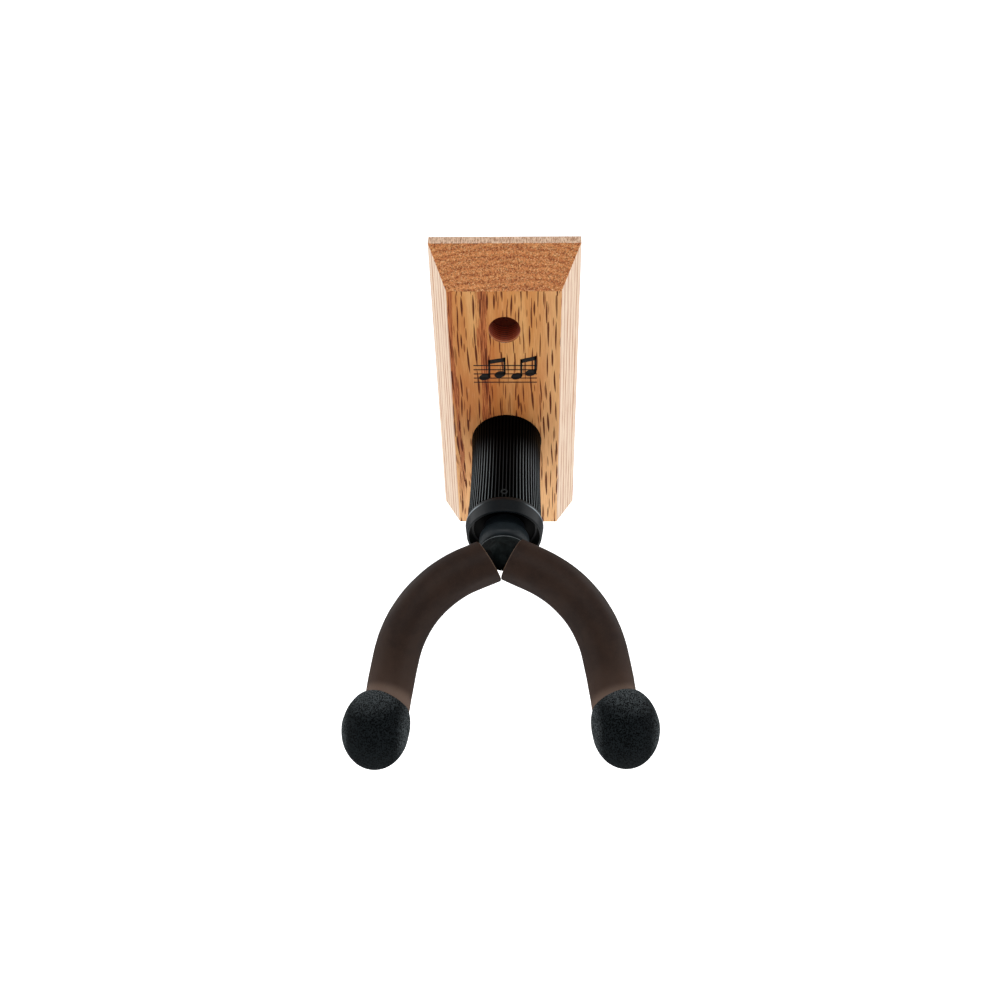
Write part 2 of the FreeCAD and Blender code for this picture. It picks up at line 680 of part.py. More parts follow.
def build():
    make_sheet()
    doc.recompute()
    plate, _eased = make_backplate()
    nodes = [plate, make_sleeve(), make_collar(), make_front_bush(), make_rear_bush()]
    nodes.append(make_ring("thrust_washer", "washer_bore_r", "thrust_r",
                           ("thrust_back_out",), ("thrust_back_out", "thrust_thick")))
    nodes.append(make_hub())
    nodes.append(make_stud())
    for label, side in (("left", -1), ("right", 1)):
        rod, _pipe = sweep_arm(label + "_arm_rod", side, ["rod_r"], "rod_start", "rod_tip")
        nodes += [rod, make_tube(label + "_arm_tube", side), make_ball(label + "_end_ball", side)]
    nodes.append(make_ring("nylon_washer", "washer_bore_r", "nylon_washer_r",
                           ("nylon_washer_out",), ("nylon_washer_out", "nylon_washer_thick")))
    nodes.append(make_ring("steel_washer", "washer_bore_r", "steel_washer_r",
                           ("steel_washer_out",), ("steel_washer_out", "steel_washer_thick")))
    nodes.append(make_lock_nut())
    nodes.append(make_ring("nut_insert", "nut_bore_r", "insert_r",
                           ("insert_rear_out",), ("insert_front_out",)))
    return nodes


def check_and_export(nodes):
    """Stop on any broken feature or empty shape, then write one file per piece."""
    for obj in doc.Objects:
        if "Invalid" in obj.State or "Error" in obj.State:
            raise RuntimeError("%s is %s" % (obj.Name, obj.State))
    os.makedirs("parts", exist_ok=True)
    for node in nodes:
        shape = node.Shape
        if shape.isNull() or not shape.isValid() or len(shape.Solids) != 1:
            raise RuntimeError(node.Label + " is not one good solid")
        shape.exportStep("parts/%s.step" % node.Label)
        print(node.Label, round(shape.Volume, 1), "mm3")


check_and_export(build())
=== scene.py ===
import bpy
import json
import math
import numpy as np
from mathutils import Matrix, Vector, noise


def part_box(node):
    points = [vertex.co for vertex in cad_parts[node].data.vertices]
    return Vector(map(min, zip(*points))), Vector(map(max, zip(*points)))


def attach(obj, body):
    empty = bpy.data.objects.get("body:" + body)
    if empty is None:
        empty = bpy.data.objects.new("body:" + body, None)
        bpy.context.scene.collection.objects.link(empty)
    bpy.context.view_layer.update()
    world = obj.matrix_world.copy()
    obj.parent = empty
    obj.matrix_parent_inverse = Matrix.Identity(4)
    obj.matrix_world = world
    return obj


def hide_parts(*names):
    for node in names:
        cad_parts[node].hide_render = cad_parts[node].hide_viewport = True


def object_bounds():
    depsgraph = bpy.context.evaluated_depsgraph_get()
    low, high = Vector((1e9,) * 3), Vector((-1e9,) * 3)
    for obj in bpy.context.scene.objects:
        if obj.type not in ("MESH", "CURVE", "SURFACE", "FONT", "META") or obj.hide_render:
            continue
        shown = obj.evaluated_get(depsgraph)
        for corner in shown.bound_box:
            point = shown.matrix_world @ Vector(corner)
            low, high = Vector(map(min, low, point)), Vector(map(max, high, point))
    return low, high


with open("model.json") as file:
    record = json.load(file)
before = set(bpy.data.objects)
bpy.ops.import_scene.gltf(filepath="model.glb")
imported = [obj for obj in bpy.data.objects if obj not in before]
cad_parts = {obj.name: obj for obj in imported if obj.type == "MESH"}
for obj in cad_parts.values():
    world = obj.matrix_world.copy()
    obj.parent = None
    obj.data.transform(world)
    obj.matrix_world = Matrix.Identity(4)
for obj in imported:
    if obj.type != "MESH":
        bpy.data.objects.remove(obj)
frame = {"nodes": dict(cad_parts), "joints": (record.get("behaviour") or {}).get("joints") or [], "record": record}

# Wall guitar hanger, looks. Everything is in metres in the row frame: origin at the
# centre of the plate's back face, +X right, +Z up, the hanger stands out to -Y.

MM = 0.001
CAD_LOW, CAD_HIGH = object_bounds()
JOINT = frame["joints"][0]
PIVOT = Vector(JOINT["pos_m"])
AXIS_Z = PIVOT.z / MM
WALL_SCREWS = next(m for m in frame["record"]["mounts"] if m["name"] == "wall_screws")
SCREW_HEIGHT = WALL_SCREWS["dims"]["spacing_y_mm"] / 2
PLATE_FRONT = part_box("oak_backplate")[0].y / MM
SLEEVE_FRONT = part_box("ribbed_sleeve")[0].y / MM

# Radii in mm and the count of ridges, as designed, for the patterns that follow a shape.
SCREW_RECESS_R, NUT_RECESS_R = 4.7, 11.0
SLEEVE_SEAT_R, SLEEVE_RIDGES = 10.95, 64.0
COLLAR_OPENING_R, COLLAR_WIDEST_IN = 10.3, 1.75

# The arms, as designed, lengths in mm: where their centre lines meet, and the runs they follow.
FORK_OUT, FORK_LIFT = 72.0, 4.5
FORK_DROOP = math.radians(27.0)
ARM_SPLAY = {-1: math.radians(67.0), 1: math.radians(65.4)}
ARM_BEND = {-1: math.radians(56.4), 1: math.radians(53.9)}
BEND_START, BEND_RADIUS = 10.0, 34.1
ARM_STRAIGHT, TIP_RADIUS, TIP_ANGLE = 8.3, 20.0, math.radians(5.5)

# The tubes: their ends and bores, how their cuts slant, and how they sag and tuck in beneath the balls.
TUBE_TIP, TUBE_R, TUBE_BORE_R = 4.9, 6.35, 3.3
CUT_START = {-1: 4.28, 1: 2.6}
CUT_SLANT = {-1: 1.1, 1: 0.42}
CUT_REACH = 7.0
SAG_WAY, SAG_SLOPE, SAG_REACH = Vector((0.0, 0.707, -0.707)), 0.38, 12.4
TUCK_DEEP, TUCK_AT, TUCK_WIDE = 0.8, 6.0, 4.0

# The hub with its weld, and the end balls.
HUB_BACK_OUT, HUB_FLANGE_R, HUB_FLANGE_THICK, HUB_ROOT_R, HUB_NOSE_R = 66.3, 7.2, 0.65, 7.1, 4.3
STUD_SOCKET_R, STUD_SOCKET_DEEP = 4.02, 3.2
BALL_TURN, BALL_LEAN = math.radians(4.0), 0.07
BALL_CENTRE, BALL_TIP_R, BALL_LONG_R, BALL_ROUND_R, BALL_FULL = 10.3, 10.8, 11.3, 9.2, 2.25
SOCKET_R, SOCKET_DEEP, BALL_BORE_R, BALL_BORE_TIP = 6.45, 2.4, 3.3, 3.4

FORK = Vector((0.0, -FORK_OUT, FORK_LIFT + AXIS_Z))


# ---------------------------------------------------------------- camera, stage, light

def make_camera():
    """A camera 45 degrees above the hanger and a little to its right."""
    turn, height, roll = math.radians(2.202), math.radians(45.0), math.radians(-1.472)
    aim = Vector((-3.307, 0.0, -55.555)) * MM
    distance = 423.417 * MM
    back = Vector((math.sin(turn) * math.cos(height), -math.cos(turn) * math.cos(height), math.sin(height)))
    right = Vector((math.cos(turn), math.sin(turn), 0.0))
    up = back.cross(right)
    tilted_right = right * math.cos(roll) + up * math.sin(roll)
    tilted_up = up * math.cos(roll) - right * math.sin(roll)
    data = bpy.data.cameras.new("camera")
    data.sensor_width = 36.0
    data.lens = 42.98
    data.clip_start, data.clip_end = 0.01, 50.0
    camera = bpy.data.objects.new("camera", data)
    bpy.context.scene.collection.objects.link(camera)
    camera.matrix_world = Matrix((
        (tilted_right.x, tilted_up.x, back.x, aim.x + back.x * distance),
        (tilted_right.y, tilted_up.y, back.y, aim.y + back.y * distance),
        (tilted_right.z, tilted_up.z, back.z, aim.z + back.z * distance),
        (0.0, 0.0, 0.0, 1.0)))
    bpy.context.scene.camera = camera


def make_stage():
    """A pale studio floor well below the hanger that curves up into a wall all round."""
    floor_z, flat, cove, height = -0.9, 2.6, 1.2, 4.5
    outline = [(0.0, 0.0), (flat, 0.0)]
    for step in range(1, 13):
        angle = math.radians(90.0 * step / 12)
        outline.append((flat + cove * math.sin(angle), cove - cove * math.cos(angle)))
    outline.append((flat + cove, height))
    rings = [[(r * math.cos(a), r * math.sin(a), floor_z + z)
              for a in np.linspace(0, 2 * math.pi, 97)[:-1]] for r, z in outline[1:]]
    floor = grid_object("studio_floor", rings, closed=False, poles=((0.0, 0.0, floor_z), None))
    paint = Graph("studio_paper")
    fleck = paint.noise(paint.coords(), 3.0, 4.0)
    paint.set("Base Color", paint.ramp(fleck, [(0.3, (0.93, 0.93, 0.93)), (0.7, (0.97, 0.97, 0.97))]))
    paint.set("Roughness", 0.9)
    paint.set("Emission Color", (1.0, 1.0, 1.0, 1.0))
    paint.set("Emission Strength", 0.95)
    floor.data.materials.append(paint.material)
    floor.visible_diffuse = False
    floor.visible_glossy = False
    floor.visible_shadow = False


def softbox(name, place, aim, wide, tall, power):
    data = bpy.data.lights.new(name, "AREA")
    data.shape = "RECTANGLE"
    data.size, data.size_y = wide, tall
    data.energy = power
    light = bpy.data.objects.new(name, data)
    bpy.context.scene.collection.objects.link(light)
    light.location = place
    light.rotation_euler = (Vector(aim) - Vector(place)).to_track_quat("-Z", "Y").to_euler()


def make_lights():
    """Soft panels beside, behind, below and above the hanger, and a dim tent round it all."""
    middle = (CAD_LOW + CAD_HIGH) / 2
    for side, name in ((-1, "left"), (1, "right")):
        softbox(name + "_side_panel", middle + Vector((0.95 * side, -0.35, 0.0)), middle, 1.2, 1.4, 7.4)
        softbox(name + "_rear_panel", middle + Vector((0.85 * side, 0.78, 0.12)), middle, 0.6, 1.1, 3.2)
    softbox("low_panel", middle + Vector((0.0, -0.75, -0.85)), middle, 1.6, 0.8, 8.5)
    softbox("top_panel", middle + Vector((0.0, -0.1, 1.1)), middle, 1.2, 0.6, 4.8)
    world = bpy.data.worlds.new("tent")
    bpy.context.scene.world = world
    world.use_nodes = True
    tent = world.node_tree.nodes["Background"]
    tent.inputs["Color"].default_value = (0.95, 0.97, 1.0, 1.0)
    tent.inputs["Strength"].default_value = 0.3
    bpy.context.scene.view_settings.view_transform = "Standard"


# ---------------------------------------------------------------- meshes

def grid_object(name, rings, closed=False, poles=(None, None)):
    """A skin over rings of equal length: closed joins the last ring to the first, poles cap the ends."""
    width = len(rings[0])
    points = [p for ring in rings for p in ring]
    faces = []
    count = len(rings)
    for i in range(count if closed else count - 1):
        low, high = i * width, (i + 1) % count * width
        for j in range(width):
            k = (j + 1) % width
            faces.append((low + j, low + k, high + k, high + j))
    for pole, first, flip in ((poles[0], 0, True), (poles[1], (count - 1) * width, False)):
        if pole is None:
            continue
        points.append(pole)
        tip = len(points) - 1
        for j in range(width):
            k = (j + 1) % width
            faces.append((first + k, first + j, tip) if flip else (first + j, first + k, tip))
    mesh = bpy.data.meshes.new(name)
    mesh.from_pydata([tuple(p) for p in points], [], faces)
    mesh.polygons.foreach_set("use_smooth", [True] * len(mesh.polygons))
    mesh.update()
    piece = bpy.data.objects.new(name, mesh)
    bpy.context.scene.collection.objects.link(piece)
    return piece


def arm_frame(side):
    """The arm's own axes in the row frame; side is +1 on the right and -1 on the left."""
    turned = Matrix.Rotation(FORK_DROOP, 3, "X")
    if side < 0:
        turned = turned @ Matrix.Rotation(math.pi, 3, "Y")
    return turned @ Matrix.Rotation(ARM_SPLAY[side] - math.pi, 3, "Z")


def tip_start(side):
    """How far along the arm its last straight begins, in mm."""
    return BEND_START + BEND_RADIUS * ARM_BEND[side] + ARM_STRAIGHT + TIP_RADIUS * TIP_ANGLE


def arm_station(side, distance):
    """Centre, forward direction and sideways direction of an arm at a distance from the fork, in mm."""
    x, y, heading = 0.0, 0.0, 0.0
    runs = ((BEND_START, 0.0), (BEND_RADIUS * ARM_BEND[side], 1 / BEND_RADIUS), (ARM_STRAIGHT, 0.0),
            (TIP_RADIUS * TIP_ANGLE, -1 / TIP_RADIUS), (1e3, 0.0))
    left = distance
    for length, curve in runs:
        step = min(left, length)
        turned = heading + curve * step
        if curve:
            x += (math.cos(heading) - math.cos(turned)) / curve
            y += (math.sin(turned) - math.sin(heading)) / curve
        else:
            x += step * math.sin(heading)
            y += step * math.cos(heading)
        heading = turned
        left -= step
        if left <= 0:
            break
    axes = arm_frame(side)
    short = tip_start(side) + BALL_CENTRE - distance
    ahead = short / SAG_REACH
    sag = SAG_SLOPE * SAG_REACH * ahead * math.exp(-ahead * ahead / 2)
    rise = SAG_SLOPE * (1 - ahead * ahead) * math.exp(-ahead * ahead / 2)
    across = axes @ Vector((math.cos(heading), -math.sin(heading), 0.0))
    tuck = TUCK_DEEP * math.exp(-((short - TUCK_AT) / TUCK_WIDE) ** 2) if short > 1.0 else 0.0
    centre = FORK + axes @ Vector((x, y, 0.0)) + SAG_WAY * sag + across * tuck
    forward = (axes @ Vector((math.sin(heading), math.cos(heading), 0.0)) - SAG_WAY * rise).normalized()
    across = (across - forward * across.dot(forward)).normalized()
    return centre, forward, across


def ring_points(centre, across, other, radii):
    """Points round a centre, in metres, at one radius per angle."""
    count = len(radii)
    return [(centre + (across * math.cos(2 * math.pi * j / count)
                       + other * math.sin(2 * math.pi * j / count)) * radii[j]) * MM for j in range(count)]


def fillet(centre_s, centre_r, radius, start, end, steps):
    """Outline points on a quarter round, angles in degrees from the +s direction."""
    return [(centre_s + radius * math.cos(math.radians(start + (end - start) * i / steps)),
             centre_r + radius * math.sin(math.radians(start + (end - start) * i / steps)))
            for i in range(steps + 1)]


def make_tube(name, side):
    """Rubber tube: a closed thick wall swept along the arm, with soft knife-cut ends and faint unevenness."""
    around, cut_rings = 112, range(6)
    first, last, soft = CUT_START[side], tip_start(side) + TUBE_TIP, 0.4
    outline = [(first, TUBE_BORE_R), (first, TUBE_R - soft - 0.9)]
    outline += fillet(first + soft, TUBE_R - soft, soft, 180, 90, 5)
    outline += [(s, TUBE_R) for s in np.linspace(first + soft, last - soft, 150)[1:-1]]
    outline += fillet(last - soft, TUBE_R - soft, soft, 90, 0, 5)
    outline += [(last, TUBE_BORE_R)]
    outline += [(s, TUBE_BORE_R) for s in np.linspace(last, first, 34)[1:-1]]
    rings = []
    for s, r in outline:
        centre, forward, across = arm_station(side, s)
        other = forward.cross(across)
        radii = []
        for j in range(around):
            angle = 2 * math.pi * j / around
            spot = Vector((math.cos(angle) * 2.2, math.sin(angle) * 2.2, s * 0.16 + 40 * side))
            swell = 0.09 + 0.055 * noise.noise(spot) + 0.02 * noise.noise(spot * 3.1)
            radii.append(r + (swell if r > TUBE_R - soft - 0.01 else 0.0))
        slant = CUT_SLANT[side] * max(0.0, 1 - (s - first) / CUT_REACH) ** 2
        ring = ring_points(centre, across, other, radii)
        for j, point in enumerate(ring):
            ring[j] = point - forward * (slant * math.cos(2 * math.pi * j / around) * radii[j] / TUBE_R * MM)
        rings.append(ring)
    tube = grid_object(name, rings, closed=True)
    for number, polygon in enumerate(tube.data.polygons):
        polygon.material_index = 1 if number // around in cut_rings else 0
    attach(tube, "yoke")
    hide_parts(name.replace("_skin", ""))
    return tube


def circle_reach(offset, radius, angle):
    """How far a circle, raised by an offset, reaches from the origin in a direction; 0 where it doesn't."""
    square = radius * radius - (offset * math.cos(angle)) ** 2
    return offset * math.sin(angle) + math.sqrt(square) if square > 0 else 0.0


def hub_radius(out, lift, angle):
    """The welded neck and the ball where the arms meet, melted together, at one distance from the wall."""
    share = min(1.0, (out - HUB_BACK_OUT - HUB_FLANGE_THICK) / (FORK_OUT - HUB_BACK_OUT - HUB_FLANGE_THICK))
    neck_r = HUB_ROOT_R + (HUB_NOSE_R - HUB_ROOT_R) * share ** 1.1
    neck = circle_reach(FORK_LIFT * share - lift, neck_r, angle)
    if out > FORK_OUT:
        neck *= max(0.0, 1 - (out - FORK_OUT) / HUB_NOSE_R) ** 0.5
    depth = HUB_NOSE_R ** 2 - (out - FORK_OUT) ** 2
    ball = circle_reach(FORK_LIFT - lift, math.sqrt(depth), angle) if depth > 0 else 0.0
    high, low = max(neck, ball), min(neck, ball)
    return high + 0.25 * max(0.0, 1 - (high - low) / 1.2) ** 2


def clear_of_tubes(point):
    """Presses a point of the weld back, so that it ends flat against the cut ends of the tubes."""
    for side in (-1, 1):
        axes = arm_frame(side)
        across, along, other = axes.col[0], axes.col[1], axes.col[2]
        local = point - FORK
        reach = math.hypot(local.dot(across), local.dot(other))
        end = CUT_START[side] - 0.12 - CUT_SLANT[side] * local.dot(across) / TUBE_R
        deep = local.dot(along) - end
        press = max(0.0, min(1.0, (TUBE_R + 3.0 - reach) / 3.0))
        if deep > 0:
            point = point - along * (deep * press * press * (3 - 2 * press))
    return point


def make_hub():
    """Welded fork hub: a turned flange, and a melted neck that swells into the ball behind the arms."""
    around, neck_rings, highlight_rings = 128, 70, range(8, 11)
    back, front = HUB_BACK_OUT, HUB_BACK_OUT + HUB_FLANGE_THICK
    ease = 0.26
    outline = [(back + STUD_SOCKET_DEEP, STUD_SOCKET_R), (back, STUD_SOCKET_R)]
    outline += fillet(back + ease, HUB_FLANGE_R - ease, ease, 180, 90, 4)
    outline += fillet(front - ease, HUB_FLANGE_R - ease, ease, 90, 0, 4)
    rings = []
    for out, radius in outline:
        rings.append([(Vector((radius * math.cos(a), -out, AXIS_Z + radius * math.sin(a)))) * MM
                      for a in np.linspace(0, 2 * math.pi, around + 1)[:-1]])
    last = FORK_OUT + HUB_NOSE_R
    for step in range(neck_rings):
        share = step / neck_rings
        out = front + 0.02 + (last - front) * math.sin(share * math.pi / 2) ** 1.15
        lift = FORK_LIFT * min(1.0, (out - front) / (FORK_OUT - front))
        ring = []
        for a in np.linspace(0, 2 * math.pi, around + 1)[:-1]:
            radius = hub_radius(out, lift, a)
            point = Vector((radius * math.cos(a), -out, AXIS_Z + lift + radius * math.sin(a)))
            fade = min(1.0, (out - front) / 0.8)
            puddle = 0.22 * noise.noise(point * 0.34) + 0.07 * noise.noise(point * 1.1)
            point += (point - Vector((0, -out, AXIS_Z + lift))).normalized() * (puddle * fade)
            ring.append(clear_of_tubes(point) * MM)
        rings.append(ring)
    socket = (0.0, -(back + STUD_SOCKET_DEEP) * MM, PIVOT.z)
    nose = clear_of_tubes(Vector((0.0, -last, AXIS_Z + FORK_LIFT))) * MM
    hub = grid_object("fork_hub_weld", rings, poles=(socket, tuple(nose)))
    # painted highlight: the rounded front edge of the flange gets a light enamel, as a light line round it
    for number, polygon in enumerate(hub.data.polygons):
        polygon.material_index = 1 if number // around in highlight_rings else 0
    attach(hub, "yoke")
    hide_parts("fork_hub")
    return hub


def prism(points_2d, y_front, y_back):
    """A flat plate of an outline in x and z, in mm, as vertices and faces."""
    count = len(points_2d)
    vertices = [(x * MM, y_front * MM, z * MM) for x, z in points_2d]
    vertices += [(x * MM, y_back * MM, z * MM) for x, z in points_2d]
    faces = [tuple(range(count)), tuple(range(2 * count - 1, count - 1, -1))]
    faces += [(i, i + count, (i + 1) % count + count, (i + 1) % count) for i in range(count)]
    return vertices, faces


def make_mark():
    """Printed mark between the upper screw and the sleeve: a plain pair of notes on a stave."""
    sleeve_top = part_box("ribbed_sleeve")[1].z / MM
    centre_z = (SCREW_HEIGHT + sleeve_top) / 2
    wide, gap, line = 19.0, 1.6, 0.36
    shapes = []
    for i in range(-2, 3):
        z = centre_z + i * gap
        shapes.append([(-wide / 2, z - line / 2), (wide / 2, z - line / 2), (wide / 2, z + line / 2),
                       (-wide / 2, z + line / 2)])
    head_wide, head_tall, stem, stem_tall = 1.75, 1.2, 0.6, 6.4
    places = [(-6.2, -1.2), (-1.6, -0.2), (3.4, -0.9), (7.6, 0.4)]
    tops = []
    for x, z in places:
        head = []
        for k in range(28):
            a = 2 * math.pi * k / 28
            u, v = head_wide * math.cos(a), head_tall * math.sin(a)
            head.append((x + u * 0.94 - v * 0.34, centre_z + z + u * 0.34 + v * 0.94))
        shapes.append(head)
        right = x + head_wide * 0.98
        shapes.append([(right - stem, centre_z + z), (right, centre_z + z),
                       (right, centre_z + z + stem_tall), (right - stem, centre_z + z + stem_tall)])
        tops.append((right, centre_z + z + stem_tall))
    for (x0, z0), (x1, z1) in ((tops[0], tops[1]), (tops[2], tops[3])):
        shapes.append([(x0 - stem, z0 - 1.5), (x1, z1 - 1.5), (x1, z1), (x0 - stem, z0)])
    vertices, faces = [], []
    for outline in shapes:
        more, sides = prism(outline, PLATE_FRONT - 0.03, PLATE_FRONT + 0.05)
        faces += [tuple(i + len(vertices) for i in face) for face in sides]
        vertices += more
    mesh = bpy.data.meshes.new("printed_notes")
    mesh.from_pydata(vertices, [], faces)
    mesh.update()
    mark = bpy.data.objects.new("printed_notes", mesh)
    bpy.context.scene.collection.objects.link(mark)
    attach(mark, "wall_base")
    return mark


def make_gate_mark():
    """The small raised ring that moulding leaves on top of the sleeve, near its collar."""
    low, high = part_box("ribbed_sleeve")
    centre = Vector((0.0, low.y / MM + 4.3, high.z / MM + 0.03))
    ring_r, wire_r = 0.8, 0.2
    rings = []
    for a in np.linspace(0, 2 * math.pi, 41)[:-1]:
        middle = centre + Vector((math.cos(a), math.sin(a), 0.0)) * ring_r
        out = Vector((math.cos(a), math.sin(a), 0.0))
        rings.append([(middle + (out * math.cos(b) + Vector((0, 0, 1)) * math.sin(b)) * wire_r) * MM
                      for b in np.linspace(0, 2 * math.pi, 13)[:-1]])
    mark = grid_object("sleeve_gate_mark", rings, closed=True)
    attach(mark, "wall_base")
    return mark


def ball_outline():
    """Half outline of an end ball, (along the arm, radius) from its bore round its full back to its tip."""
    lip = SOCKET_R + 0.15
    back = -BALL_LONG_R * (1 - (lip / BALL_ROUND_R) ** BALL_FULL) ** (1 / BALL_FULL)
    points = [(BALL_BORE_TIP, 1.2), (BALL_BORE_TIP, BALL_BORE_R), (back + SOCKET_DEEP, BALL_BORE_R),
              (back + SOCKET_DEEP, SOCKET_R), (back + 0.5, SOCKET_R), (back + 0.12, SOCKET_R + 0.1)]
    start, steps = math.acos(back / BALL_LONG_R), 150
    for i in range(steps):
        share = math.cos(start * (1 - i / steps))
        power, reach = (BALL_FULL, BALL_LONG_R) if share < 0 else (2.0, BALL_TIP_R)
        points.append((share * reach, BALL_ROUND_R * (1 - abs(share) ** power) ** (1 / power)))
    return points


def make_ball(name, side):
    """Foam ball pushed over the end of a tube: an egg, open at its back, with a pitted skin."""
    around = 230
    centre, forward, across = arm_station(side, tip_start(side) + BALL_CENTRE)
    forward, across = (forward * math.cos(BALL_TURN) + across * math.sin(BALL_TURN),
                       across * math.cos(BALL_TURN) - forward * math.sin(BALL_TURN))
    other = forward.cross(across)
    rings = []
    for along, radius in ball_outline():
        radii = []
        for j in range(around):
            angle = 2 * math.pi * j / around
            spot = Vector((along, radius * math.cos(angle), radius * math.sin(angle) + 50 * side))
            pit = 0.0
            if radius > SOCKET_R + 0.3 or along > BALL_BORE_TIP + 0.1:
                grain = noise.noise(spot * 2.3)
                pit = 0.07 * grain - 0.16 * max(0.0, grain - 0.2) + 0.05 * noise.noise(spot * 0.35)
            radii.append(radius + pit * min(1.0, radius / 2.0))
        middle = centre + forward * along + across * (BALL_LEAN * max(0.0, along))
        rings.append(ring_points(middle, across, other, radii))
    tip = (centre + forward * BALL_TIP_R + across * (BALL_LEAN * BALL_TIP_R)) * MM
    floor = (centre + forward * BALL_BORE_TIP + across * (BALL_LEAN * BALL_BORE_TIP)) * MM
    ball = grid_object(name, rings, poles=(tuple(floor), tuple(tip)))
    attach(ball, "yoke")
    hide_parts(name.replace("_skin", ""))
    return ball


# ---------------------------------------------------------------- materials

class Graph:
    """One node material, with short calls for the nodes that it is made of."""

    def __init__(self, name):
        self.material = bpy.data.materials.new(name)
        self.material.use_nodes = True
        self.tree = self.material.node_tree
        self.shader = self.tree.nodes["Principled BSDF"]

    def put(self, socket, value):
        if isinstance(value, bpy.types.NodeSocket):
            self.tree.links.new(value, socket)
        else:
            socket.default_value = value

    def add(self, kind, inputs=(), **settings):
        node = self.tree.nodes.new(kind)
        for key, value in settings.items():
            setattr(node, key, value)
        for key, value in dict(inputs).items():
            self.put(node.inputs[key], value)
        return node

    def set(self, name, value):
        self.put(self.shader.inputs[name], value)

    def coords(self, scale=(1.0, 1.0, 1.0)):
        """Object coordinates in millimetres, times a scale on each axis."""
        place = self.add("ShaderNodeTexCoord").outputs["Object"]
        factor = tuple(1000.0 * s for s in scale)
        return self.add("ShaderNodeVectorMath", {0: place, 1: factor}, operation="MULTIPLY").outputs[0]

    def split(self, vector):
        return self.add("ShaderNodeSeparateXYZ", {0: vector}).outputs

    def join(self, x, y, z):
        return self.add("ShaderNodeCombineXYZ", {0: x, 1: y, 2: z}).outputs[0]

    def math(self, operation, a, b=0.0):
        return self.add("ShaderNodeMath", {0: a, 1: b}, operation=operation).outputs[0]

    def noise(self, vector, scale, detail=2.0, rough=0.5):
        return self.add("ShaderNodeTexNoise", {
            "Vector": vector, "Scale": scale, "Detail": detail, "Roughness": rough}).outputs["Fac"]

    def ramp(self, factor, stops):
        node = self.add("ShaderNodeValToRGB", {"Fac": factor})
        elements = node.color_ramp.elements
        while len(elements) < len(stops):
            elements.new(0.5)
        for element, (position, colour) in zip(elements, stops):
            element.position = position
            element.color = (*colour, 1.0)
        return node.outputs["Color"]

    def blend(self, factor, a, b):
        node = self.add("ShaderNodeMix", data_type="RGBA")
        self.put(node.inputs["Factor"], factor)
        self.put(node.inputs[6], a)
        self.put(node.inputs[7], b)
        return node.outputs[2]

    def span(self, value, low, high, to_low=0.0, to_high=1.0, smooth=True):
        return self.add("ShaderNodeMapRange", {
            "Value": value, "From Min": low, "From Max": high, "To Min": to_low, "To Max": to_high},
            interpolation_type="SMOOTHSTEP" if smooth else "LINEAR").outputs["Result"]

    def bump(self, height, distance, strength=1.0):
        self.set("Normal", self.add("ShaderNodeBump", {
            "Height": height, "Distance": distance * MM, "Strength": strength}).outputs["Normal"])


def radius_from(g, x, y):
    """How far a point is from an axis, from its two offsets."""
    return g.math("SQRT", g.math("ADD", g.math("MULTIPLY", x, x), g.math("MULTIPLY", y, y)))


def rgb(red, green, blue):
    """A screen colour, 0 to 255, as the linear colour that a shader takes."""
    return tuple((c / 255 / 12.92) if c <= 10 else ((c / 255 + 0.055) / 1.055) ** 2.4
                 for c in (red, green, blue))


def rgba(red, green, blue):
    return (*rgb(red, green, blue), 1.0)


def dashes(g, x, z, wide, tall, half_w, half_h, keep):
    """Upright lens-shaped marks scattered over x and z: 1 inside a mark, 0 between them."""
    u = g.math("DIVIDE", x, wide)
    v = g.math("DIVIDE", z, tall)
    cells = g.add("ShaderNodeTexVoronoi", {"Vector": g.join(u, v, 0.0), "Scale": 1.0, "Randomness": 0.85},
                  voronoi_dimensions="2D", feature="F1")
    spot = g.split(cells.outputs["Position"])
    chance = g.split(cells.outputs["Color"])
    du = g.math("ABSOLUTE", g.math("SUBTRACT", u, spot[0]))
    dv = g.math("SUBTRACT", v, spot[1])
    tall_here = g.math("MULTIPLY", g.span(chance[0], 0.0, 1.0, 0.55, 1.25, False), half_h / tall)
    wide_here = g.math("MULTIPLY", g.span(chance[1], 0.0, 1.0, 0.6, 1.3, False), half_w / wide)
    along = g.math("DIVIDE", dv, tall_here)
    lens = g.math("ADD", g.math("DIVIDE", du, wide_here), g.math("MULTIPLY", along, along))
    inside = g.span(lens, 1.06, 0.8)
    kept = g.span(chance[2], keep, keep + 0.15, 1.0, 0.0)
    return g.math("MULTIPLY", inside, kept)


